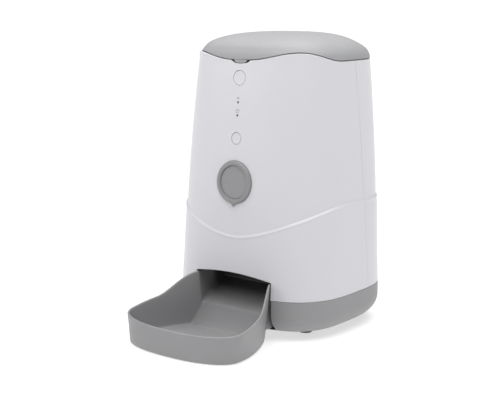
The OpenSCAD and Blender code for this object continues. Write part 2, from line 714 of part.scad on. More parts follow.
arm_half_w = 11.7;
module lid_hinge_arm() {
    color("gray") difference() {
        union() {
            at_body() box([-arm_half_w, 50, liner_z + 2.4], [arm_half_w, hinge_y, liner_z + 5.4]);
            at_body() rod(-arm_half_w, arm_half_w, hinge_y, hinge_z, hinge_r);
        }
        at_body() rod(-30, 30, hinge_y, hinge_z, pin_r + run_gap);
    }
}
module hinge_bracket() {
    color("gainsboro") difference() {
        union() {
            at_body() box([-hinge_half_w, 84.8, 284], [hinge_half_w, 87.7, 298.4]);
            for (s = [-1, 1]) {
                at_body() box([s > 0 ? 12.3 : -hinge_half_w, 84.8, 298.4],
                    [s > 0 ? hinge_half_w : -12.3, hinge_y, hinge_z]);
                at_body() rod(s > 0 ? 12.3 : -hinge_half_w, s > 0 ? hinge_half_w : -12.3,
                    hinge_y, hinge_z, hinge_r);
            }
        }
        at_body() rod(-30, 30, hinge_y, hinge_z, pin_r + run_gap);
        for (x = [-15, 15]) at_body() translate([x, 80, 290]) rotate([-90, 0, 0])
            cylinder(r = 1.6, h = 12);
    }
}
module hinge_screws() {
    color("silver") for (x = [-15, 15]) at_body() translate([x, 0, 290]) rotate([-90, 0, 0]) {
        translate([0, 0, 83.2]) cylinder(r = 2.8, h = 1.6);
        translate([0, 0, 84.8]) cylinder(r = 1.5, h = 3);
    }
}
module hinge_pins() {
    color("silver") at_body() rod(-hinge_half_w + 0.3, hinge_half_w - 0.3, hinge_y, hinge_z, pin_r);
}
module latch_catch() {
    color("white") at_body() box([-9, -73.3, 297.4], [9, -71.5, 300]);
}
module lid_latch() {
    color("gray") at_body() {
        along_x(tab_half_w - 0.5) polygon([[-76.2, 300.9], [-75.7, 305.6], [-75, 308.6],
            [-72.6, 308.6], [-73.6, 300.9]]);
        along_x(7.5) polygon([[-73, 306.2], [-73, 308.6], [-68.6, 308.6], [-68.6, 296.2],
            [-70.9, 296.2], [-70.9, 306.2]]);
    }
}
module desiccant_cover() {
    color("whitesmoke") at_body() translate([0, cup_y, liner_z + 0.2]) difference() {
        cylinder(r = cup_r - 0.4, h = 2.6);
        translate([0, 0, -1]) cylinder(r = cup_r - 4, h = 1.8);
        for (i = [-3:3]) translate([i * 6 - 1, -12 + abs(i), -1]) cube([2, 24 - 2 * abs(i), 8]);
    }
    color("whitesmoke") at_body() box([-2.5, cup_y - 20, liner_z + 0.2], [2.5, cup_y - 14, liner_z + 2]);
}
module desiccant_bag() {
    color("white") at_body() box([-18, cup_y - 14, liner_z + 3.4], [18, cup_y + 14, liner_z + 10]);
}

// ---------- bowl ----------
bowl_rear = -45;
arc_y = -171;
channel_w = 52.2;
flare_start = -89.7;
bowl_rim_z = 64;
rim_drop_y = -90.9;
foot_half_w = 73.8;
foot_channel_w = 46.4;
rim_reach = 199.6;
skirt_z = 10.6;
bowl_z = 0.6;
ramp_y = -88;
ramp_z = 28;
ramp_foot_y = -104;
bowl_floor_z = 3.4;
function clamp(v) = max(0, min(1, v));
function ease(v) = (1 - cos(180 * clamp(v))) / 2;
function mix(a, b, g) = a + (b - a) * g;
// Half of the bowl's width at y, where g runs from 0 at the foot to 1 at the rim
function bowl_w(y, g) = let (w0 = mix(foot_channel_w, channel_w, g))
    w0 + (mix(foot_half_w, bowl_half_w, g) - w0)
        * sin(90 * clamp((flare_start - y) / (flare_start - arc_y)));
function bowl_rim(y) = bowl_rim_z - (bowl_rim_z - bowl_front_z)
    * (0.42 * pow(ease((rim_drop_y - y) / 46.5), 1.13) + 0.58 * clamp((rim_drop_y - y) / 110));
function bowl_foot(y) = mix(bowl_z, skirt_z, ease((y + 104) / 16));
function bowl_floor(y) = y > ramp_y ? ramp_z + 0.56 * (y - ramp_y)
    : bowl_floor_z + (ramp_z - bowl_floor_z) * pow(clamp((y - ramp_foot_y) / (ramp_y - ramp_foot_y)), 1.3);
side_y = [bowl_rear, -60, -74, -82, -88, -90, -92, -96, -100, -104, -109, -115, -122, -130, -138,
    -146, -154, -163, -171];
arc_a = [5, 14, 24, 34, 44, 54, 64, 74, 81, 86.5];
// Point k of half the bowl's outline, inset by s
function bowl_half(k, s, rear, g) = k < len(side_y)
    ? let (y = k == 0 ? bowl_rear - rear : side_y[k]) [bowl_w(y, g) - s, y]
    : let (a = arc_a[k - len(side_y)], deep = mix(bowl_reach, rim_reach, g) + arc_y)
        [(bowl_w(arc_y, g) - s) * pow(cos(a), 0.86), arc_y - (deep - s) * pow(sin(a), 0.9)];
// Ring at fraction f of the wall's height above the foot or the floor, inset by s
function bowl_ring(f, s, rear, floor) = let (
        k_max = len(side_y) + len(arc_a) - 1,
        half = [for (k = [0:k_max]) let (
                y = bowl_half(k, 0, rear, 1)[1],
                low = floor ? bowl_floor(y) : bowl_foot(y),
                z = mix(low, bowl_rim(y), f),
                p = bowl_half(k, s, rear, (z - bowl_foot(y)) / (bowl_rim(y) - bowl_foot(y))))
            [p[0], p[1], z]])
    concat([for (p = half) [-p[0], p[1], p[2]]], [for (k = [k_max:-1:0]) half[k]]);
skirt_half_w = 42.5;
module bowl() {
    outer = [for (r = [[0, 2.4], [0.04, 0.7], [0.1, 0], [0.55, 0], [0.97, 0], [1, 0.7]])
        bowl_ring(r[0], r[1], 0, false)];
    inner = [for (r = [[1, -0.7], [0.97, 0], [0.5, 0], [0.16, 0.2], [0.05, 1.2], [0, 3]])
        bowl_ring(r[0], bowl_wall + r[1], bowl_wall, true)];
    color("gray") difference() {
        at_body() loft(concat(outer, inner));
        at_body() along_x(skirt_half_w) polygon([[-104.5, -5], [-100.5, 5], [-89, ramp_z - 4.6],
            [ramp_y + 2, ramp_z - 2.4], [bowl_rear - 5, ramp_z + 19], [bowl_rear - 5, -5]]);
    }
}
module bowl_pads() {
    color("dimgray") for (p = [[44, -184], [-44, -184], [48, -140], [-48, -140]]) at_body()
        translate([p[0], p[1], 0]) cylinder(r = 6, h = bowl_z);
}

front_shell();
rear_shell();
base();
feet();
base_screws();
support_columns();
deck();
deck_screws();
outlet_chute();
rotor_well();
flow_shield();
hopper();
level_sensors();
gearbox_case();
gearbox_screws();
idler_axle();
motor();
motor_screws();
rotor_bush();
battery_box();
battery_contacts();
backup_cells();
main_board();
board_parts();
board_standoffs();
board_screws();
speaker();
dc_jack();
power_leads();
motor_leads();
panel_ribbon();
control_bracket();
control_board();
tact_switches();
light_pipes();
panel_screws();
badge_ring();
badge_disc();
latch_catch();
hinge_bracket();
hinge_screws();
hinge_pins();
lid_shell();
lid_liner();
lid_seal();
lid_hinge_arm();
lid_latch();
desiccant_cover();
desiccant_bag();
feed_button();
pair_button();
bowl();
bowl_pads();
rotor();
agitator();
rotor_shaft();
drive_gear();
idler_gear();
motor_pinion();
battery_door();
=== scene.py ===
"""Looks for the pet feeder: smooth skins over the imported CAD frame, procedural plastics, camera and light."""

import json
import math

import bmesh
import bpy
import numpy as np
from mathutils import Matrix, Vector


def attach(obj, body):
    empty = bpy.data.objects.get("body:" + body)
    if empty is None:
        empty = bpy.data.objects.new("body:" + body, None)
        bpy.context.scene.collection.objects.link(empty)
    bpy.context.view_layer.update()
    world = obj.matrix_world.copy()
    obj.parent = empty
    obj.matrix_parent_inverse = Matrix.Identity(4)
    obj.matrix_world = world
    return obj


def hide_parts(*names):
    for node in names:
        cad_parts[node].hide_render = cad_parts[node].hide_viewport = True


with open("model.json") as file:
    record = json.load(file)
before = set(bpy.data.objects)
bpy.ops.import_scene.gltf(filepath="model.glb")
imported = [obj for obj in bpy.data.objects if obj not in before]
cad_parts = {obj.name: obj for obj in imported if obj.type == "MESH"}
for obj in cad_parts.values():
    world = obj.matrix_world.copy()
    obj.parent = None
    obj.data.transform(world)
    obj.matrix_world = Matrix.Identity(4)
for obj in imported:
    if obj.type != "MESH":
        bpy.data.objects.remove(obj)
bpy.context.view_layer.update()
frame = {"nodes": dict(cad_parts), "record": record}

# ---------- outline of the housing, in millimetres round the body's axis ----------
N = 3.13  # exponent of the outline, a superellipse
HALF_W, RIDGE_W, RIM_W, STEP = 107.5, 102.1, 89.3, 1.2
BULGE = 3.38  # of the upper skin, between ridge and rim
RIDGE_REF, RIDGE_MID = 154.0, 148.0  # where the widths meet, and the ridge's height for spacing
DEPTH_LOW, DEPTH_GAIN, LID_DEPTH = 0.88, 0.05, 0.93  # depth over width
BASE_TOP, BASE_LOW, BASE_ROUND = 46.0, 6.5, 24.0
RIM_Z, DOME_H, WALL, LEAN = 304.0, 30.6, 2.5, 7.44
LID_GAP, EDGE = 0.6, 0.5
DOME_POWER, DOME_BULGE, DOME_FROM = 2.06, 3.6, 0.345  # the dome's profile and its forward bulge
RIDGE_LOW, RIDGE_RISE, RIDGE_TURN = 110.4, 36, 80  # height in front, rise, and angle where it levels
BEVEL, FLARE, FLARE_H, OVER = 2.8, 0.5, 2.6, 0.6  # the ridge: bevel, lip and the row above
RIM_FRONT, RIM_PEAK, PEAK_ANGLE, FALL_ANGLE = 1.4, 10, 47.2, 35  # the rim's wave
LEFT_SHARE = 0.86  # the wave's height on the left side


def spow(v, p):
    return np.sign(v) * np.abs(v) ** p


def level(z):
    return (z - BASE_TOP) / (RIM_Z - BASE_TOP)


def centre(z):
    return LEAN * np.minimum(level(z), 1.0)


def depth_k(z):
    return DEPTH_LOW + DEPTH_GAIN * np.minimum(level(z), 1.0)


def lower_w(z):
    return HALF_W + (RIDGE_W - HALF_W) * (z - BASE_TOP) / (RIDGE_REF - BASE_TOP)


def upper_w(z):
    u = (np.minimum(z, RIM_Z) - RIDGE_REF) / (RIM_Z - RIDGE_REF)
    return (RIDGE_W - STEP) * (1 - u) + RIM_W * u + BULGE * u * (1 - u)


def shrink(z):
    """How much narrower the dome is at z than at the rim."""
    h = np.clip((z - RIM_Z) / DOME_H, 0.0, 1.0)
    return (1 - h**DOME_POWER) ** (1 / 3)


def dome_shift(z):
    """How far the dome's middle heights sit forward of the rim's centre, as a Y offset."""
    u = np.clip(((z - RIM_Z) / DOME_H - DOME_FROM) / (1 - DOME_FROM), 0.0, 1.0)
    return -DOME_BULGE * np.sin(np.pi * u) ** 2


def outline(t, w, k, c, s):
    """Points of the plan outline at parameter t (radians from the front), moved in by s."""
    return (w - s) * spow(np.sin(t), 2 / N), c - (w * k - s) * spow(np.cos(t), 2 / N)


def side_angle(t):
    """Degrees from the front, the same to both sides."""
    return np.degrees(np.arctan2(np.abs(np.sin(t)) ** (2 / N), 0.9 * spow(np.cos(t), 2 / N)))


def ridge_z(t):
    """The ridge that sweeps from low in front to high at the sides."""
    return RIDGE_LOW + RIDGE_RISE * (1 - np.cos(np.pi * np.minimum(side_angle(t) / RIDGE_TURN, 1))) / 2


def rim_at(t):
    """The housing's wavy upper edge: low in front, a peak on each side, level at the rear."""
    a = side_angle(t)
    near = RIM_FRONT + (RIM_PEAK - RIM_FRONT) * ((1 - np.cos(np.pi * np.minimum(a / PEAK_ANGLE, 1))) / 2) ** 1.6
    far = RIM_PEAK * ((1 + np.cos(np.pi * np.clip((a - PEAK_ANGLE) / FALL_ANGLE, 0, 1))) / 2) ** 1.2
    return RIM_Z - 0.2 + np.where(a < PEAK_ANGLE, near, far) * np.where(np.sin(t) < 0, LEFT_SHARE, 1.0)


def rear_reach(z):
    return centre(z) + depth_k(z) * np.where(z > RIDGE_MID, upper_w(z), lower_w(z))


BODY_Y = (204 - np.max(rear_reach(np.arange(BASE_TOP, RIM_Z, 2.0)))) / 2


def skin_w(z, upper):
    return upper_w(z) * shrink(z) if upper else lower_w(z)


def skin_y(x, z, upper=True, rear=False):
    """Where the skin is at (x, z), on the front or the rear."""
    w = skin_w(z, upper)
    d = w * depth_k(z)
    reach = d * np.clip(1 - np.abs(x / w) ** N, 0, 1) ** (1 / N)
    return centre(z) + dome_shift(z) + (reach if rear else -reach)


def base_inset(z):
    under = np.clip(BASE_LOW + BASE_ROUND - z, 0, BASE_ROUND)
    return BASE_ROUND - np.sqrt(BASE_ROUND**2 - under**2)


def base_y(x, z, rear=False):
    i = base_inset(z)
    reach = (HALF_W * DEPTH_LOW - i) * np.clip(1 - np.abs(x / (HALF_W - i)) ** N, 0, 1) ** (1 / N)
    return reach if rear else -reach


def even(t0, t1, z, upper, stops):
    """Parameters at stops along an outline: shares of its length, or mm from its start or, below zero, its end."""
    t = np.linspace(t0, t1, 4001)
    x, y = outline(t, skin_w(z, upper), depth_k(z), centre(z), 0.0)
    run = np.concatenate([[0], np.cumsum(np.hypot(np.diff(x), np.diff(y)))])
    at = [q * run[-1] if kind == "part" else (q if q >= 0 else run[-1] + q) for kind, q in stops]
    return np.interp(at, run, t)


# ---------- mesh helpers ----------
def ladder(ids, flip):
    """Closes a ring across from i to n - 1 - i."""
    n = len(ids)
    quads = [(ids[i], ids[i + 1], ids[n - 2 - i], ids[n - 1 - i]) for i in range(n // 2 - 1)]
    return [q[::-1] for q in quads] if flip else quads


def loft(rings, caps="ladder"):
    """Verts and faces of a skin over closed equal rings, with its ends closed or, for a tube, joined."""
    rings = np.asarray(rings, float)
    m, n = rings.shape[:2]
    ids = np.arange(m * n).reshape(m, n)
    a, b = ids[:-1], ids[1:]
    a1, b1 = np.roll(a, -1, 1), np.roll(b, -1, 1)
    quads = np.stack([a, a1, b1, b], -1)
    faces = [tuple(q) for q in quads.reshape(-1, 4)]
    verts = rings.reshape(-1, 3)
    if caps == "ladder":
        faces += ladder(ids[0], True) + ladder(ids[-1], False)
    elif caps == "fan":
        verts = np.vstack([verts, rings[0].mean(0), rings[-1].mean(0)])
        low, high = m * n, m * n + 1
        for i in range(n):
            j = (i + 1) % n
            faces += [(ids[0, j], ids[0, i], low), (ids[-1, i], ids[-1, j], high)]
    elif caps == "tube":
        quads = np.stack([ids[-1], np.roll(ids[-1], -1), np.roll(ids[0], -1), ids[0]], -1)
        faces += [tuple(q) for q in quads]
    return verts, faces


def join(parts):
    """One verts and faces pair from several."""
    verts, faces, at = [], [], 0
    for v, f in parts:
        verts.append(np.asarray(v, float))
        faces += [tuple(i + at for i in q) for q in f]
        at += len(v)
    return np.vstack(verts), faces


def to_mesh(name, geometry):
    """A mesh in metres in the CAD frame, its faces turned outward."""
    verts, faces = geometry
    co = (np.asarray(verts, float) + (0, BODY_Y, 0)) / 1000
    mesh = bpy.data.meshes.new(name)
    mesh.from_pydata(co.tolist(), [], faces)
    bm = bmesh.new()
    bm.from_mesh(mesh)
    bmesh.ops.remove_doubles(bm, verts=bm.verts, dist=1e-7)
    bmesh.ops.recalc_face_normals(bm, faces=bm.faces)
    bm.to_mesh(mesh)
    bm.free()
    return mesh


def skin_normals(x, y, z, kind):
    """Unit normals of the known surfaces, by differences of their implicit form, and the distance from them."""
    shift = 0.6 * dome_shift(z)  # held still, so that the dome's shading runs evenly over its forward bulge

    def field(x, y, z):
        if kind == "base":
            i = base_inset(z)
            w, d, c = HALF_W - i, HALF_W * DEPTH_LOW - i, 0.0 * z
        else:
            w = skin_w(z, kind == "upper")
            d, c = w * depth_k(z), centre(z) + shift + 0.4 * dome_shift(z)
        g = (np.abs(x / w) ** N + np.abs((y - c) / d) ** N) ** (1 / N)
        return (g - 1) * w

    e = 0.02
    f = field(x, y, z)
    g = np.stack(
        [
            field(x + e, y, z) - field(x - e, y, z),
            field(x, y + e, z) - field(x, y - e, z),
            field(x, y, z + e) - field(x, y, z - e),
        ],
        -1,
    ) / (2 * e)
    size = np.maximum(np.linalg.norm(g, axis=1), 1e-9)
    return g / size[:, None], np.abs(f) / size


def piece(name, geometry, material, body, replaces=(), cutters=None, skins=(), angle=32):
    """A finished object: cut, shaded smooth, its skin's normals set exactly, riding on a body."""
    obj = bpy.data.objects.new(name, to_mesh(name, geometry))
    bpy.context.scene.collection.objects.link(obj)
    if cutters:
        tool = bpy.data.objects.new(name + "_tool", to_mesh(name + "_tool", join(cutters)))
        bpy.context.scene.collection.objects.link(tool)
        mod = obj.modifiers.new("cut", "BOOLEAN")
        mod.operation, mod.solver, mod.object = "DIFFERENCE", "EXACT", tool
        bpy.context.view_layer.update()
        cut = bpy.data.meshes.new_from_object(obj.evaluated_get(bpy.context.evaluated_depsgraph_get()))
        obj.modifiers.clear()
        obj.data = cut
        bpy.data.objects.remove(tool)
    mesh = obj.data
    mesh.name = name
    mesh.materials.clear()
    mesh.materials.append(material)
    mesh.polygons.foreach_set("material_index", np.zeros(len(mesh.polygons), np.int32))
    mesh.polygons.foreach_set("use_smooth", np.ones(len(mesh.polygons), bool))
    mesh.set_sharp_from_angle(angle=math.radians(angle))
    if skins:
        co = np.zeros(len(mesh.vertices) * 3)
        mesh.vertices.foreach_get("co", co)
        co = co.reshape(-1, 3) * 1000 - (0, BODY_Y, 0)
        corner = np.zeros(len(mesh.loops), np.int64)
        mesh.loops.foreach_get("vertex_index", corner)
        sizes = np.zeros(len(mesh.polygons), np.int64)
        mesh.polygons.foreach_get("loop_total", sizes)
        flat = np.zeros(len(mesh.polygons) * 3)
        mesh.polygons.foreach_get("normal", flat)
        flat = np.repeat(flat.reshape(-1, 3), sizes, 0)
        given = np.zeros((len(corner), 3))
        for kind, low, high in skins:
            n, off = skin_normals(*co.T, kind)
            n, off, z = n[corner], off[corner], co[corner, 2]
            edge = ridge_z(np.arctan2(*[spow(v, N / 2) for v in (co[corner, 0] / 100, -(co[corner, 1] - 4) / 90)]))
            above = -1e9 if low is None else edge + low if low < 20 else low
            below = 1e9 if high is None else edge + high if high < 0 else high
            use = (off < 0.02) & ((n * flat).sum(1) > 0.93) & (z > above) & (z < below)
            given[use] = n[use]
        mesh.normals_split_custom_set(given.tolist())
    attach(obj, body)
    if replaces:
        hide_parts(*replaces)
    return obj


def grown(contour, grow):
    """A closed contour of (x, z) points moved outward along its normals."""
    p = np.asarray(contour, float)
    if grow == 0:
        return p
    d = np.roll(p, -1, 0) - np.roll(p, 1, 0)
    n = np.stack([d[:, 1], -d[:, 0]], -1)
    n /= np.linalg.norm(n, axis=1)[:, None]
    area = np.sum(p[:, 0] * np.roll(p[:, 1], -1) - np.roll(p[:, 0], -1) * p[:, 1])
    return p + n * grow * np.sign(area)


def round_steps(r, count=5):
    """(depth, grow) pairs of a rounded edge of radius r, from the skin inward."""
    return [(r * (1 - math.cos(a)), r * (1 - math.sin(a))) for a in np.linspace(0, math.pi / 2, count)]


def opening(contour, surface, r, depth, rear=False, inner_y=None, out=8.0):
    """A cutter through a skin whose mouth is rounded by r all along."""
    rings = []
    steps = [(-out, r)] + round_steps(r) + [(depth, 0.0)]
    for k, (d, g) in enumerate(steps):
        p = grown(contour, g)
        y = surface(p[:, 0], p[:, 1]) + (-d if rear else d)
        if inner_y is not None and k == len(steps) - 1:
            y = np.full(len(p), float(inner_y))
        rings.append(np.stack([p[:, 0], y, p[:, 1]], -1))
    return loft(rings, "fan")


def circle(x, z, r, n=64, squash=1.0):
    """A closed contour round (x, z), lower than wide when squashed."""
    a = np.linspace(0, 2 * np.pi, n, endpoint=False)
    return np.stack([x + r * np.cos(a), z + r * squash * np.sin(a)], -1)


def rounded(corners, r, per=5, step=2.5):
    """A closed contour with rounded corners and evenly split sides."""
    c = np.asarray(corners, float)
    out = []
    for i, p in enumerate(c):
        a, b = c[i - 1] - p, c[(i + 1) % len(c)] - p
        la, lb = np.linalg.norm(a), np.linalg.norm(b)
        cut = min(r, la / 2.1, lb / 2.1)
        start, end = p + a / la * cut, p + b / lb * cut
        for f in np.linspace(0, 1, per):
            out.append(start * (1 - f) ** 2 + 2 * p * f * (1 - f) + end * f**2)
        nxt = c[(i + 1) % len(c)]
        far = nxt - b / lb * cut
        count = int(np.linalg.norm(far - end) / step)
        out += [end + (far - end) * (j + 1) / (count + 1) for j in range(count)]
    return np.array(out)


def cylinder(x, y, z0, z1, r, n=48):
    """An upright cylinder."""
    a = np.linspace(0, 2 * np.pi, n, endpoint=False)
    ring = np.stack([x + r * np.cos(a), y + r * np.sin(a), 0 * a], -1)
    return loft([ring + (0, 0, z0), ring + (0, 0, z1)], "fan")


def block(low, high):
    """An upright box between two corners."""
    (x0, y0, z0), (x1, y1, z1) = low, high
    ring = np.array([[x0, y0], [x1, y0], [x1, y1], [x0, y1]], float)
    return loft([np.c_[ring, np.full(4, z0)], np.c_[ring, np.full(4, z1)]], "fan")


def lathe(profile, place, n=96, caps="fan", warp=lambda a, r: np.full(len(a), float(r))):
    """Turns (radius, height) points round an axis; place maps local points to the body's frame."""
    a = np.linspace(0, 2 * np.pi, n, endpoint=False)
    rings = []
    for r, h in profile:
        rr = warp(a, r)
        rings.append(place(np.stack([rr * np.cos(a), rr * np.sin(a), np.full(n, float(h))], -1)))
    return loft(rings, caps)


def tilted(y, z, tilt):
    """Local x across, y up the wall and z outward, on a face that leans back by tilt degrees."""
    s, c = math.sin(math.radians(tilt)), math.cos(math.radians(tilt))

    def place(p):
        p = np.asarray(p, float)
        return np.stack([p[..., 0], y + s * p[..., 1] - c * p[..., 2], z + c * p[..., 1] + s * p[..., 2]], -1)

    return place


def front_y(z):
    """The front of the upper skin on the centre line."""
    return centre(z) - depth_k(z) * upper_w(z)


# ---------- materials ----------
def plastic(
    name,
    color,
    rough,
    grain=0.0,
    grain_size=0.4,
    tone=0.03,
    rough_vary=0.05,
    metal=0.0,
    edge=0.0,
    dust=0.0,
    coat=0.0,
    spec=0.5,
    brushed=False,
):
    """A moulded or metal surface: drift of tone and roughness, grain bump, lighter worn edges, dust on top."""
    mat = bpy.data.materials.new(name)
    mat.use_nodes = True
    nodes, links = mat.node_tree.nodes, mat.node_tree.links
    shader = nodes["Principled BSDF"]
    shader.inputs["Metallic"].default_value = metal
    shader.inputs["Specular IOR Level"].default_value = spec
    if coat:
        shader.inputs["Coat Weight"].default_value = coat
        shader.inputs["Coat Roughness"].default_value = 0.12
    coords = nodes.new("ShaderNodeTexCoord")
    source = coords.outputs["Object"]
    if brushed:
        mapping = nodes.new("ShaderNodeMapping")
        mapping.inputs["Scale"].default_value = (1, 1, 0.06)
        links.new(source, mapping.inputs["Vector"])
        source = mapping.outputs["Vector"]

    def noise(size_mm, detail):
        n = nodes.new("ShaderNodeTexNoise")
        n.inputs["Scale"].default_value = 1000 / size_mm
        n.inputs["Detail"].default_value = detail
        links.new(source, n.inputs["Vector"])
        return n.outputs["Fac"]

    def ramp(value, low, high, to_low, to_high):
        r = nodes.new("ShaderNodeMapRange")
        r.inputs["From Min"].default_value = low
        r.inputs["From Max"].default_value = high
        r.inputs["To Min"].default_value = to_low
        r.inputs["To Max"].default_value = to_high
        links.new(value, r.inputs["Value"])
        return r.outputs["Result"]

    def mix(a, b, fac):
        m = nodes.new("ShaderNodeMix")
        m.data_type = "RGBA"
        for socket, v in ((m.inputs[6], a), (m.inputs[7], b)):
            if isinstance(v, tuple):
                socket.default_value = (*v, 1)
            else:
                links.new(v, socket)
        links.new(fac, m.inputs[0])
        return m.outputs[2]

    base = np.array(color)
    low, high = tuple(base * (1 - tone)), tuple(np.minimum(base * (1 + tone), 1.0))
    out = mix(low, high, ramp(noise(60, 4), 0.3, 0.7, 0, 1))
    speck = tuple(base * (1 - 1.6 * tone))
    out = mix(out, speck, ramp(noise(0.5, 3), 0.62, 0.8, 0, 0.5))
    if edge:
        geo = nodes.new("ShaderNodeNewGeometry")
        worn = tuple(np.minimum(base * 1.5 + 0.05, 1.0))
        out = mix(out, worn, ramp(geo.outputs["Pointiness"], 0.52, 0.62, 0, edge))
    if dust:
        geo = nodes.new("ShaderNodeNewGeometry")
        split = nodes.new("ShaderNodeSeparateXYZ")
        links.new(geo.outputs["Normal"], split.inputs["Vector"])
        up = ramp(split.outputs["Z"], 0.5, 1.0, 0, dust)
        times = nodes.new("ShaderNodeMath")
        times.operation = "MULTIPLY"
        links.new(up, times.inputs[0])
        links.new(ramp(noise(5, 8), 0.45, 0.75, 0, 1), times.inputs[1])
        out = mix(out, (0.62, 0.6, 0.57), times.outputs["Value"])
    links.new(out, shader.inputs["Base Color"])
    links.new(
        ramp(noise(22, 8), 0.25, 0.75, max(rough - rough_vary, 0.03), min(rough + rough_vary, 1)),
        shader.inputs["Roughness"],
    )
    if grain:
        bump = nodes.new("ShaderNodeBump")
        bump.inputs["Distance"].default_value = 0.001
        bump.inputs["Strength"].default_value = grain
        links.new(noise(grain_size, 3), bump.inputs["Height"])
        links.new(bump.outputs["Normal"], shader.inputs["Normal"])
    return mat


WHITE = plastic("housing_white", (0.62, 0.615, 0.645), 0.3, 0.02, 0.9, tone=0.006, rough_vary=0.0)
KEY = plastic("key_white", (0.62, 0.615, 0.645), 0.26, 0.015, 0.7, tone=0.006)
GREY = plastic("grey_shell", (0.27, 0.268, 0.275), 0.46, 0.12, 0.45, tone=0.03, edge=0.12, dust=0.06)
# Painted light: a lighter copy of the base's grey plastic for the lid and latch tab, its lighter colour standing in for
# the light on the lid's top.
LIT_LID_GREY = plastic("lid_grey_painted_light", (0.322, 0.322, 0.33), 0.5, 0.1, 0.45, tone=0.02, edge=0.08, dust=0.05, spec=0.25)
BADGE = plastic("badge_grey", (0.25, 0.25, 0.255), 0.4, 0.08, 0.4, tone=0.03, edge=0.15)
DISC = plastic("badge_face", (0.27, 0.27, 0.28), 0.34, 0.25, 0.6, tone=0.03)


def paint_shade(mat, y0, y1, share):
    """Paints shade into a material: darkens it to a share of its colour between two Y values, in millimetres from the
    body's axis.
    """
    nodes, links = mat.node_tree.nodes, mat.node_tree.links
    shader = nodes["Principled BSDF"]
    color = shader.inputs["Base Color"].links[0].from_socket
    split = nodes.new("ShaderNodeSeparateXYZ")
    links.new(nodes.new("ShaderNodeTexCoord").outputs["Object"], split.inputs["Vector"])
    fade = nodes.new("ShaderNodeMapRange")
    fade.interpolation_type = "SMOOTHSTEP"
    fade.inputs["From Min"].default_value = (y0 + BODY_Y) / 1000
    fade.inputs["From Max"].default_value = (y1 + BODY_Y) / 1000
    fade.inputs["To Min"].default_value = 0.0
    fade.inputs["To Max"].default_value = 1 - share
    links.new(split.outputs["Y"], fade.inputs["Value"])
    blend = nodes.new("ShaderNodeMix")
    blend.data_type = "RGBA"
    blend.inputs[7].default_value = (0.0, 0.0, 0.0, 1)
    links.new(color, blend.inputs[6])
    links.new(fade.outputs["Result"], blend.inputs[0])
    links.new(blend.outputs[2], shader.inputs["Base Color"])


# Painted shade: a copy of the grey plastic, darkened to a quarter from y -70 mm towards the rear, where the housing's
# outlet shades the ramp and rear wall.
SHADED_BOWL = plastic("bowl_grey_painted_shade", (0.27, 0.268, 0.275), 0.46, 0.12, 0.45, tone=0.03, edge=0.12, dust=0.06)
paint_shade(SHADED_BOWL, -70, -56, 0.25)
FINISH = {
    "housing_white": WHITE,
    "grey_shell": GREY,
    "badge_grey": BADGE,
    "key_white": KEY,
    "inner_white": plastic("inner_white", (0.62, 0.62, 0.6), 0.5, 0.08, 0.5, tone=0.02, dust=0.12),
    "rotor_white": plastic("rotor_white", (0.66, 0.66, 0.63), 0.42, 0.06, 0.5, tone=0.02),
    "gear_nylon": plastic("gear_nylon", (0.7, 0.66, 0.53), 0.48, 0.08, 0.4, tone=0.03),
    "dark_plastic": plastic("dark_plastic", (0.025, 0.025, 0.028), 0.5, 0.15, 0.5, tone=0.1, edge=0.1),
    "rubber_grey": plastic("rubber_grey", (0.1, 0.1, 0.105), 0.72, 0.25, 0.35, tone=0.06, dust=0.1),
    "seal_silicone": plastic("seal_silicone", (0.4, 0.41, 0.42), 0.5, 0.1, 0.6, tone=0.04),
    "steel": plastic("steel", (0.56, 0.56, 0.58), 0.32, 0.15, 0.5, tone=0.06, metal=1.0, rough_vary=0.12, brushed=True),
    "bronze": plastic("bronze", (0.5, 0.32, 0.13), 0.4, 0.3, 0.25, tone=0.12, metal=1.0, rough_vary=0.1),
    "board_green": plastic("board_green", (0.012, 0.1, 0.045), 0.28, 0.2, 1.6, tone=0.35, coat=0.3),
    "lead_red": plastic("lead_red", (0.4, 0.02, 0.015), 0.45, 0.06, 0.5, tone=0.05),
    "lead_black": plastic("lead_black", (0.02, 0.02, 0.02), 0.45, 0.06, 0.5, tone=0.1),
    "ribbon_grey": plastic("ribbon_grey", (0.4, 0.41, 0.43), 0.4, 0.2, 1.0, tone=0.05),
    "light_clear": plastic("light_dark", (0.06, 0.06, 0.065), 0.2, 0.02, 0.5, tone=0.05),
    "sachet_paper": plastic("sachet_paper", (0.76, 0.75, 0.7), 0.85, 0.5, 0.7, tone=0.04),
    "cell_wrap": plastic("cell_wrap", (0.03, 0.06, 0.14), 0.25, 0.04, 0.8, tone=0.1),
}


def hopper_material():
    """Smoke-tinted plastic that lets some light through."""
    mat = plastic("hopper_clear", (0.5, 0.52, 0.54), 0.24, 0.04, 0.8, tone=0.03, rough_vary=0.0)
    shader = mat.node_tree.nodes["Principled BSDF"]
    shader.inputs["Transmission Weight"].default_value = 0.35
    shader.inputs["IOR"].default_value = 1.5
    return mat


FINISH["hopper_clear"] = hopper_material()
slots = {s["node"]: s["material_slot"] for s in frame["record"]["subparts"]}
for node_name, obj in frame["nodes"].items():
    for slot in obj.material_slots:
        slot.material = FINISH[slots[node_name]]


# ---------- housing shells ----------
def seam_t(z, upper, gap):
    """The outline's parameter at the seam between the shells, which runs a little forward as it rises."""
    y = 25 - 8 * min(level(z), 1)
    reach = skin_w(z, upper) * depth_k(z)
    return float(np.arccos(-spow((y + gap - centre(z)) / reach, N / 2)))


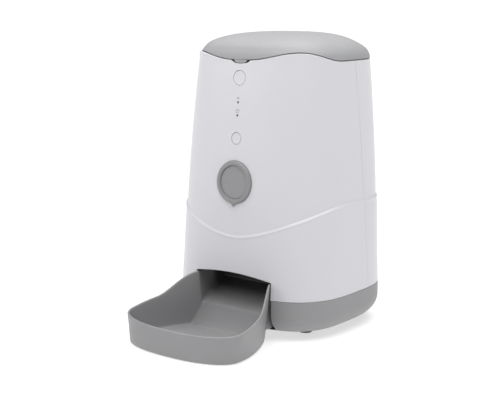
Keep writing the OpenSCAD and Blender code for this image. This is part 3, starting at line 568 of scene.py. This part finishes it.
def shell(front):
    """A closed half shell: lower skin, a soft ridge, upper skin, rounded edges all round."""
    gap = -0.15 if front else 0.15
    turn = round_steps(EDGE, 4)
    marks = [("mm", d) for d, _ in turn[:-1]]
    marks += [("part", f) for f in np.linspace(0.003, 0.997, 100)]
    marks += [("mm", -d if d else 1e9) for d, _ in turn[-2::-1]]
    side = np.array([g for _, g in turn[:-1]] + [0.0] * 100 + [g for _, g in turn[-2::-1]])
    rows = [("low", 0.0, d, g) for d, g in turn]
    rows += [("low", f, 0.0, 0.0) for f in np.linspace(0.02, 0.955, 24)]
    rows += [("ridge", 0.0, d, 0.0) for d in (*np.linspace(-2.2, -0.2, 6), *np.linspace(0, BEVEL + OVER, 17))]
    rows += [("high", f, 0.0, 0.0) for f in np.linspace(0.015, 0.99, 52)]
    rows += [("high", 1.0, -d, g) for d, g in turn[::-1]]
    rings = []
    for zone, f, off, inset in rows:
        upper = zone == "high"
        z_edge = {
            "low": BASE_TOP + (RIDGE_MID - BASE_TOP) * f,
            "ridge": RIDGE_MID,
            "high": 150 + (RIM_Z - 150) * f,
        }[zone]
        seam = seam_t(z_edge, upper or zone == "ridge", gap)
        t0, t1 = (-seam, seam) if front else (seam, 2 * np.pi - seam)
        t = even(t0, t1, z_edge, upper, marks)
        edge = ridge_z(t)
        if zone == "low":
            z = BASE_TOP + (edge - BASE_TOP) * f + off
            w = lower_w(z)
        elif zone == "ridge":
            z = edge + off
            b = np.clip(off / BEVEL, 0, 1)
            b = b - 0.35 * np.sin(2 * np.pi * b) / (2 * np.pi)
            u = np.clip((off + FLARE_H) / FLARE_H, 0, 1)
            w = (lower_w(z) + FLARE * u * u * (3 - 2 * u)) * (1 - b) + upper_w(z) * b
        else:
            start = edge + BEVEL + OVER
            z = start + (rim_at(t) - start) * f + off
            w = upper_w(z)
        grids = []
        for s in (np.maximum(side, inset), np.full(len(t), WALL)):
            x, y = outline(t, w, depth_k(z), centre(z), s)
            grids.append(np.stack([x, y, z], -1))
        rings.append(np.vstack([grids[0], grids[1][::-1]]))
    return loft(rings, "ladder")


def lean_of(z0, z1):
    """How far the front leans back between two heights, in degrees."""
    return math.degrees(math.atan((front_y(z1) - front_y(z0)) / (z1 - z0)))


PANEL_LOW, PANEL_HIGH = 215.0, 290.0
panel_z = (PANEL_LOW + PANEL_HIGH) / 2
panel_y = (front_y(PANEL_LOW) + front_y(PANEL_HIGH)) / 2
panel_tilt = lean_of(PANEL_LOW, PANEL_HIGH)
PANEL_SQUASH = math.cos(math.radians(panel_tilt))
BADGE_Z, BADGE_R = 171.6, 23.8
badge_tilt = lean_of(BADGE_Z - BADGE_R, BADGE_Z + BADGE_R)
FEED_Z, PAIR_Z, LED_Z = 286.2, 220.0, (259.5, 245.3)
FEED_R, PAIR_R, KEY_GAP = 8.0, 6.3, 0.45
MOUTH = 53  # half the outlet's width
HINGE_GAP = 22.6  # half the width of the gap for the hinge


def upper_front(x, z):
    return skin_y(x, z, True)


def lower_front(x, z):
    return skin_y(x, z, False)


def upper_rear(x, z):
    return skin_y(x, z, True, True)


arch_x = np.linspace(MOUTH, -MOUTH, 41)
arch = np.stack([arch_x, 70.6 - 4.6 * (arch_x / 50) ** 2], -1)
outlet = np.vstack([[[-MOUTH, 52], [-MOUTH, 40], [0, 40], [MOUTH, 40], [MOUTH, 52]], arch])
notch_half = [[9.2, 302.5], [13.2, 305.2], [14.2, 307], [14.2, 322]]
notch_left = [[-x, z] for x, z in notch_half]
notch = rounded([*notch_left[2::-1], [0, 301.5], *notch_half, notch_left[3]], 3)
front_cutters = [
    opening(outlet, lower_front, 0.7, 30),
    opening(notch, upper_front, 0.45, 9),
    opening(circle(0, FEED_Z, FEED_R + KEY_GAP, 96, PANEL_SQUASH), upper_front, 0.3, 9),
    opening(circle(0, PAIR_Z, PAIR_R + KEY_GAP, 96, PANEL_SQUASH), upper_front, 0.3, 9),
    opening(circle(0, BADGE_Z, BADGE_R + 0.2, 128), upper_front, 0.3, 1.2),
]
front_cutters += [opening(circle(0, z, 1.3, 32), upper_front, 0.15, 9) for z in LED_Z]
skins = [("lower", None, -2.7), ("upper", BEVEL + 0.7, None)]
piece("front_shell_skin", shell(True), WHITE, "housing", ["front_shell"], front_cutters, skins)


def hinge_opening(z0, z1):
    """The cutter of the gap for the hinge, between two heights."""
    corners = [[-HINGE_GAP, z0], [HINGE_GAP, z0], [HINGE_GAP, z1], [-HINGE_GAP, z1]]
    return opening(rounded(corners, 1.2), upper_rear, 0.4, 12, rear=True)


rear_cutters = [hinge_opening(298, 322)]
piece("rear_shell_skin", shell(False), WHITE, "housing", ["rear_shell"], rear_cutters, skins)


# ---------- base ----------
def ring_t(n, w, k):
    """n parameters spread evenly by length round an outline."""
    t = np.linspace(0, 2 * np.pi, 8001)
    x, y = outline(t, w, k, 0.0, 0.0)
    run = np.concatenate([[0], np.cumsum(np.hypot(np.diff(x), np.diff(y)))])
    return np.interp((np.arange(n) + 0.5) / n * run[-1], run, t)


def base_shell():
    """The tray under the shells, its lower edge well rounded and its inside open."""
    t = ring_t(200, HALF_W, DEPTH_LOW)

    def ring(z, s):
        x, y = outline(t, HALF_W, DEPTH_LOW, 0.0, s)
        return np.stack([x, y, np.full(len(t), float(z))], -1)

    def turned(s, angles):
        r = BASE_ROUND - s
        return [ring(BASE_LOW + s + r * (1 - math.cos(a)), s + r * (1 - math.sin(a))) for a in np.radians(angles)]

    top = BASE_TOP - 0.2
    rings = turned(0.0, np.linspace(0, 90, 24))
    rings += [ring(z, 0) for z in np.linspace(BASE_LOW + BASE_ROUND, top - EDGE, 6)[1:]]
    rings += [ring(top - d, g) for d, g in round_steps(EDGE, 4)[-2::-1]]
    rings += [ring(top, WALL)]
    rings += turned(WALL, np.linspace(90, 0, 10))
    return loft(rings, "ladder")


mouth = rounded([[-53.4, 9.6], [53.4, 9.6], [53.4, 60], [-53.4, 60]], 5.0)
base_cutters = [
    opening(mouth, lambda x, z: base_y(x, np.minimum(z, BASE_TOP)), 1.0, 40, inner_y=-60, out=20),
    opening(circle(-40, 36, 5.2), lambda x, z: base_y(x, z, True), 0.5, 8, rear=True),
    block((-28, -27, 0), (28, 29, 10)),
    block((-6.8, 29.02, 0), (6.8, 37.3, 10)),
]
for x, y in ((66, -50), (-66, -50), (60, 52), (-60, 52)):
    base_cutters.append(cylinder(x, y, 0, 8, 3.4))
for k in range(-2, 3):
    base_cutters.append(block((58 + 5 * k - 1.2, -6, 0), (58 + 5 * k + 1.2, 16, 10)))
piece("base_skin", base_shell(), GREY, "housing", ["base"], base_cutters, [("base", None, None)])

foot_profile = [(0, 0.0), (6.2, 0.0), (7.0, 0.25), (7.5, 0.8), (7.7, 1.6), (7.9, 6.5)]
feet = [lathe(foot_profile, lambda p, x=x, y=y: p + (x, y, 0), 64) for x in (-63, 63) for y in (-37, 37)]
foot_grey = plastic("foot_grey", (0.09, 0.09, 0.093), 0.6, 0.15, 0.4, tone=0.04, dust=0.05)
piece("feet_round", join(feet), foot_grey, "housing", ["feet"])


# ---------- lid ----------
def lid_shell():
    """The dome, from its inner face round its wavy edge to the top."""
    t = ring_t(220, RIM_W, LID_DEPTH)
    z0 = rim_at(t) + LID_GAP + 0.35

    def ring(g, s, lift=0.0):
        """g from the edge to the top, s inset from the outer face."""
        h = DOME_H - (WALL if s >= WALL else 0)
        start = np.arcsin(np.clip((z0 - RIM_Z) / h, 0, 1) ** (DOME_POWER / 2))
        phi = start + (np.pi / 2 - start) * g
        p = np.cos(phi) ** (2 / 3)
        z = RIM_Z + h * np.sin(phi) ** (2 / DOME_POWER) + lift
        if lift:
            p = shrink(z)
        inset = s * (p if s >= WALL else 1)
        x = (RIM_W * p - inset) * spow(np.sin(t), 2 / N)
        y = LEAN + dome_shift(z) - (RIM_W * LID_DEPTH * p - inset) * spow(np.cos(t), 2 / N)
        return np.stack([x, y, z], -1)

    steps = np.linspace(0, 1, 60)[1:-1] ** 1.15
    rings = [ring(g, WALL) for g in (0.985, 0.9, 0.7, 0.5, 0.3, 0.18, 0.09, 0.03)]
    bottom = ring(0.0, WALL)
    bottom[:, 2] = z0
    rings.append(bottom)
    turn = round_steps(EDGE, 4)
    rings += [ring(0.0, g, d) if d else ring(0.0, g) for d, g in turn]
    rings += [ring(g, 0.0) for g in steps if g > 0.012]
    return loft(rings, "fan")


lid_skins = [("upper", 30.0, 330.0)]
piece("lid_dome", lid_shell(), LIT_LID_GREY, "lid", ["lid_shell"], [hinge_opening(296, 308)], lid_skins)


# ---------- latch tab ----------
def plug(contour, surface, lift, thick, r):
    """A thin plate that follows a skin, its outer edge rounded."""
    p0 = np.asarray(contour, float)
    mid = p0.mean(0)
    rings = []
    for d, g in [(thick, 0.0)] + [(d, -q) for d, q in round_steps(r)][::-1]:
        p = grown(p0, g) if g else p0
        rings.append(np.stack([p[:, 0], surface(p[:, 0], p[:, 1]) - lift + d, p[:, 1]], -1))
    inner = grown(p0, -r)
    for f in (0.85, 0.65, 0.4, 0.15):
        p = mid + (inner - mid) * f
        rings.append(np.stack([p[:, 0], surface(p[:, 0], p[:, 1]) - lift, p[:, 1]], -1))
    return loft(rings, "fan")


def prism(profile, half):
    """A (y, z) profile drawn out to both sides."""
    return loft([np.array([[x, y, z] for y, z in profile], float) for x in (-half, half)], "fan")


tab_half = [[5.6, 302.6], [8.2, 304], [8.8, 305.9]]
tab = rounded([*([-x, z] for x, z in tab_half[::-1]), [0, 302], *tab_half], 1.2, step=1.0)
hook = [[-73.2, 303], [-73.2, 305.4], [-70.9, 305.4], [-70.9, 308.6]]
hook += [[-68.6, 308.6], [-68.6, 296.2], [-70.9, 296.2], [-70.9, 303]]
latch = join([plug(tab, upper_front, 0.2, 2.6, 0.5), prism(hook, 7.5)])
piece("latch_tab", latch, LIT_LID_GREY, "latch", ["lid_latch"])

# ---------- buttons, lights and icons ----------
place = tilted(panel_y, panel_z, panel_tilt)
keys = (
    ("feed_cap", "feed_key", "feed_button", FEED_R, FEED_Z),
    ("pair_cap", "pair_key", "pair_button", PAIR_R, PAIR_Z),
)
for name, body, node, r, z in keys:
    h = (z - panel_z) / PANEL_SQUASH
    profile = [(0, -5.0), (2, -5.0), (2, -4.3), (r + 1.1, -4.3), (r + 1.1, -3.1), (r, -3.1), (r, -0.55)]
    profile += [(r - 0.4 * (1 - math.cos(a)), 0.4 * math.sin(a) - 0.55) for a in np.radians((25, 50, 70, 90))]
    profile += [(r - 1.2, -0.2), (r * 0.7, -0.32), (r * 0.35, -0.38), (0.4, -0.4)]
    geometry = lathe([(max(q, 0.05), d) for q, d in profile], lambda p, h=h: place(p + (0, h, 0)), 128)
    piece(name, geometry, KEY, body, [node])

lens = []
for z in LED_Z:
    a = np.linspace(0, 2 * np.pi, 40, endpoint=False)
    rings = []
    for r, d in ((1.15, 9.4), (1.15, 0.2), (1.0, 0.06), (0.6, 0.0), (0.1, -0.03)):
        x, zz = r * np.cos(a), z + r * np.sin(a)
        rings.append(np.stack([x, upper_front(x, zz) + d, zz], -1))
    lens.append(loft(rings, "fan"))
piece("light_lenses", join(lens), FINISH["light_clear"], "housing", ["light_pipes"])


def stroke(points, width, closed=False):
    """A thin printed line on the front skin through (x, z) points."""
    p = np.asarray(points, float)
    if closed:
        d = np.roll(p, -1, 0) - np.roll(p, 1, 0)
    else:
        d = np.gradient(p, axis=0)
    n = np.stack([-d[:, 1], d[:, 0]], -1)
    n /= np.linalg.norm(n, axis=1)[:, None]
    rings = []
    for q in range(len(p)):
        side = [(p[q] + n[q] * width / 2 * s, d) for s, d in ((-1, 0.05), (-1, -0.03), (1, -0.03), (1, 0.05))]
        rings.append([[c[0], float(upper_front(c[0], c[1])) + d, c[1]] for c, d in side])
    return loft(rings, "tube" if closed else "fan")


def arc(x, z, r, a0, a1, n=16):
    """Points along part of a circle, between two angles in degrees."""
    a = np.radians(np.linspace(a0, a1, n))
    return np.stack([x + r * np.cos(a), z + r * np.sin(a)], -1)


LINE = 0.34
marks = [stroke(arc(0, 262.2, r, 45, 135), LINE) for r in (0.95, 1.85, 2.75)]
bowl_mark = rounded([[-2.3, 251.0], [2.3, 251.0], [1.7, 248.4], [-1.7, 248.4]], 0.9, step=0.5)
marks.append(stroke(bowl_mark, LINE, closed=True))
marks.append(stroke([[-0.9, 251.6], [0, 252.0], [0.9, 251.6]], LINE))
INK = plastic("print_grey", (0.09, 0.09, 0.1), 0.5, 0.02, 0.3, tone=0.05)
piece("status_marks", join(marks), INK, "housing")


# ---------- badge ----------
def badge_warp(a, r):
    """Draws the ring's outer side down to a small pointed lip."""
    away = np.abs((a + np.pi / 2 + np.pi) % (2 * np.pi) - np.pi)
    lip = 3.2 * np.clip(1 - away / math.radians(14), 0, 1) ** 1.6
    share = np.clip((r - 20.4) / (BADGE_R - 20.4), 0, 1)
    return r + lip * share


badge_place = tilted(float(front_y(BADGE_Z)), BADGE_Z, badge_tilt)
ring_profile = [(18.6, -1.2), (18.6, 0.9), (18.75, 1.6), (19.1, 2.15), (19.6, 2.45), (20.2, 2.55)]
ring_profile += [(21.2, 2.6), (22.3, 2.5), (23.0, 2.25), (23.45, 1.8), (23.72, 1.3), (BADGE_R, 0.7), (BADGE_R, -1.2)]
badge_ring = lathe(ring_profile, badge_place, 240, "tube", badge_warp)
piece("badge_ring_round", badge_ring, BADGE, "housing", ["badge_ring"])
disc_profile = [(0.05, -1.2), (18.4, -1.2), (18.4, 0.45), (18.2, 0.7), (17.7, 0.78), (12, 0.76), (6, 0.75), (0.3, 0.75)]
piece("badge_face_disc", lathe(disc_profile, badge_place, 160), DISC, "housing", ["badge_disc"])

# ---------- bowl ----------
BOWL_REAR, ARC_Y, FLARE_Y = -45.0, -171.0, -89.7
RIM_HALF, FOOT_HALF, RIM_CHANNEL, FOOT_CHANNEL = 79.6, 73.8, 52.2, 46.4
RIM_REACH, FOOT_REACH, BOWL_WALL, RIM_R = 199.6, 204.0, 2.6, 1.3
RIM_HIGH, RIM_LOW, RIM_DROP_Y = 64, 28.3, -90.9  # the rim's height at the rear and in front, and where it drops
FOOT_Z, SKIRT_Z, FLOOR_Z, RISE_Y = 0.6, 10.6, 3.4, -104  # the floor is flat in front of RISE_Y
RAMP_Z, RAMP_Y = 28, -88  # the foot of the ramp


def ease(v):
    return (1 - np.cos(np.pi * np.clip(v, 0, 1))) / 2


def mix_of(a, b, g):
    return a + (b - a) * g


def bowl_w(y, g):
    """Half the bowl's width at y, where g runs from 0 at the foot to 1 at the rim."""
    w0 = mix_of(FOOT_CHANNEL, RIM_CHANNEL, g)
    out = np.sin(np.pi / 2 * np.clip((FLARE_Y - y) / (FLARE_Y - ARC_Y), 0, 1))
    return w0 + (mix_of(FOOT_HALF, RIM_HALF, g) - w0) * out


def bowl_rim(y):
    fast, slow = ease((RIM_DROP_Y - y) / 46.5) ** 1.13, np.clip((RIM_DROP_Y - y) / 110, 0, 1)
    return RIM_HIGH - (RIM_HIGH - RIM_LOW) * (0.42 * fast + 0.58 * slow)


def bowl_foot(y):
    return mix_of(FOOT_Z, SKIRT_Z, ease((y - RISE_Y) / (RAMP_Y - RISE_Y)))


def bowl_floor(y):
    """Flat in front, a steep rise, then the ramp, with the fold between them rounded."""
    rise = FLOOR_Z + (RAMP_Z - FLOOR_Z) * np.clip((y - RISE_Y) / (RAMP_Y - RISE_Y), 0, None) ** 1.3
    ramp = RAMP_Z + 0.56 * (np.maximum(y, RISE_Y) - RAMP_Y)
    sharp = 1.6
    return -np.logaddexp(-rise * sharp, -ramp * sharp) / sharp


bowl_y = [BOWL_REAR, -50, -56, -62, -68, -74, -79, *np.linspace(-83, -110, 37), *np.linspace(-112, ARC_Y, 34)]
bowl_y = np.array(bowl_y)
bowl_a = np.radians(np.linspace(2, 88.7, 54))
BOWL_N = len(bowl_y) + len(bowl_a)


def bowl_half(s, rear, g):
    """Half the bowl's outline, inset by s, with its rear end moved in by rear."""
    n = len(bowl_y)
    y = bowl_y.copy()
    y[0] -= rear
    side = np.stack([bowl_w(y, g[:n]) - s[:n], y], -1)
    gg, ss = g[n:], s[n:]
    deep = mix_of(FOOT_REACH, RIM_REACH, gg) + ARC_Y
    x = (bowl_w(ARC_Y, gg) - ss) * np.cos(bowl_a) ** 0.86
    return np.vstack([side, np.stack([x, ARC_Y - (deep - ss) * np.sin(bowl_a) ** 0.9], -1)])


def bowl_ring(f, dz, s, rear, inside):
    """f from the foot or floor to the rim, dz added height, s inset from the wall's outer face."""
    y = bowl_half(np.zeros(BOWL_N), rear, np.ones(BOWL_N))[:, 1]
    low, high = bowl_floor(y) if inside else bowl_foot(y), bowl_rim(y)
    z = mix_of(low, high, f) + dz
    half = bowl_half(np.full(BOWL_N, float(s)), rear, (z - bowl_foot(y)) / (high - bowl_foot(y)))
    points = np.c_[half, z]
    return np.vstack([points * (-1, 1, 1), points[::-1]])


def bowl():
    """The bowl's wall, from the foot over the rounded rim and down to the floor inside."""
    foot_r, floor_r = 2.2, 3.6
    turn = np.radians(np.linspace(0, 90, 7))
    rings = [bowl_ring(0, foot_r * (1 - math.cos(a)), foot_r * (1 - math.sin(a)), 0, False) for a in turn]
    rings += [bowl_ring(f, 0, 0.0, 0, False) for f in np.linspace(0.15, 0.93, 12)]
    for b in np.linspace(0, math.pi, 11):
        s = RIM_R * (1 - math.cos(b))
        rings.append(bowl_ring(1, -RIM_R * (1 - math.sin(b)), s, s, False))
    rings += [bowl_ring(f, 0, BOWL_WALL, BOWL_WALL, True) for f in np.linspace(0.93, 0.2, 12)]
    for a in np.radians(np.linspace(85, 0, 9)):
        s = BOWL_WALL + floor_r * (1 - math.sin(a))
        rings.append(bowl_ring(0, floor_r * (1 - math.cos(a)), s, BOWL_WALL, True))
    rings += [bowl_ring(0, 0, s, BOWL_WALL, True) for s in (7.4, 9.0)]
    return loft(rings, "ladder")


under = [[-104.5, -5], [-100.5, 5], [-89, 23.4], [-86, 25.6], [-50, 47], [-50, -5]]
piece("bowl_smooth", bowl(), SHADED_BOWL, "bowl", ["bowl"], [prism(under, 42.5)], angle=40)

# ---------- floor, light and camera ----------
FLOOR_SIDES, FLOOR_GLOW = 128, 0.57  # a disc of 1 m radius that lifts its own shadows
turn = np.linspace(0, 2 * np.pi, FLOOR_SIDES, endpoint=False)
floor_mesh = bpy.data.meshes.new("floor")
floor_mesh.from_pydata([(math.cos(a), math.sin(a), 0.0) for a in turn], [], [tuple(range(FLOOR_SIDES))])
paper = plastic("floor_paper", (0.55, 0.55, 0.55), 0.9, 0.03, 1.2, tone=0.004, spec=0.0)
glow = paper.node_tree.nodes["Principled BSDF"].inputs
glow["Emission Color"].default_value = (1, 1, 1, 1)
glow["Emission Strength"].default_value = FLOOR_GLOW
floor_mesh.materials.append(paper)
floor = bpy.data.objects.new("floor", floor_mesh)
bpy.context.scene.collection.objects.link(floor)

scene = bpy.context.scene
HORIZON_LIGHT, SKY_LIGHT = 1.1, 0.2  # the world is bright up to the horizon and dim above
world = bpy.data.worlds.new("studio")
scene.world = world
world.use_nodes = True
nodes, links = world.node_tree.nodes, world.node_tree.links
direction = nodes.new("ShaderNodeTexCoord")
split = nodes.new("ShaderNodeSeparateXYZ")
links.new(direction.outputs["Generated"], split.inputs["Vector"])
dome = nodes.new("ShaderNodeMapRange")
for socket, value in (("From Min", 0.01), ("From Max", 0.12), ("To Min", HORIZON_LIGHT), ("To Max", SKY_LIGHT)):
    dome.inputs[socket].default_value = value
links.new(split.outputs["Z"], dome.inputs["Value"])
links.new(dome.outputs["Result"], nodes["Background"].inputs["Strength"])
nodes["Background"].inputs["Color"].default_value = (1, 1, 1, 1)


def softbox(name, place, aim, size, power, color=(1, 1, 1)):
    """A rectangular area light, its sizes in metres and its power in watts."""
    light = bpy.data.lights.new(name, "AREA")
    light.shape, light.size, light.size_y = "RECTANGLE", size[0], size[1]
    light.energy, light.color = power, color
    obj = bpy.data.objects.new(name, light)
    scene.collection.objects.link(obj)
    obj.location = place
    obj.rotation_mode = "QUATERNION"
    obj.rotation_quaternion = (Vector(aim) - Vector(place)).to_track_quat("-Z", "Y")


softbox("top", (0.1, -0.05, 1.5), (0, 0, 0.1), (2.0, 2.0), 42.5)
softbox("front", (-0.95, -1.1, 0.75), (0, 0, 0.15), (1.0, 0.8), 2.4, (0.99, 0.99, 1.0))

camera = bpy.data.objects.new("camera", bpy.data.cameras.new("camera"))
scene.collection.objects.link(camera)
scene.camera = camera
AZIMUTH, DISTANCE, EYE_Z, AIM_Z = math.radians(35.99), 1.3, 0.3748, 0.154
TURN, NOD = math.radians(-1.54), math.radians(-0.64)  # how far the aim is off the body's axis
PICTURE_W, FOCAL, SENSOR = 500, 1128.08, 36.0  # width and focal length in the same unit; sensor in mm
spot = np.array([math.sin(AZIMUTH) * DISTANCE, BODY_Y / 1000 - math.cos(AZIMUTH) * DISTANCE, EYE_Z])
ahead = np.array([0, BODY_Y / 1000, AIM_Z]) - spot
ahead /= np.linalg.norm(ahead)
right = np.cross(ahead, (0, 0, 1))
right /= np.linalg.norm(right)
ahead = ahead + math.tan(TURN) * right + math.tan(NOD) * np.cross(right, ahead)
camera.location = spot
camera.rotation_mode = "QUATERNION"
camera.rotation_quaternion = Vector(ahead).to_track_quat("-Z", "Y")
camera.data.sensor_width = SENSOR
camera.data.lens = FOCAL / PICTURE_W * SENSOR
camera.data.clip_start, camera.data.clip_end = 0.05, 30
scene.view_settings.view_transform = "Standard"
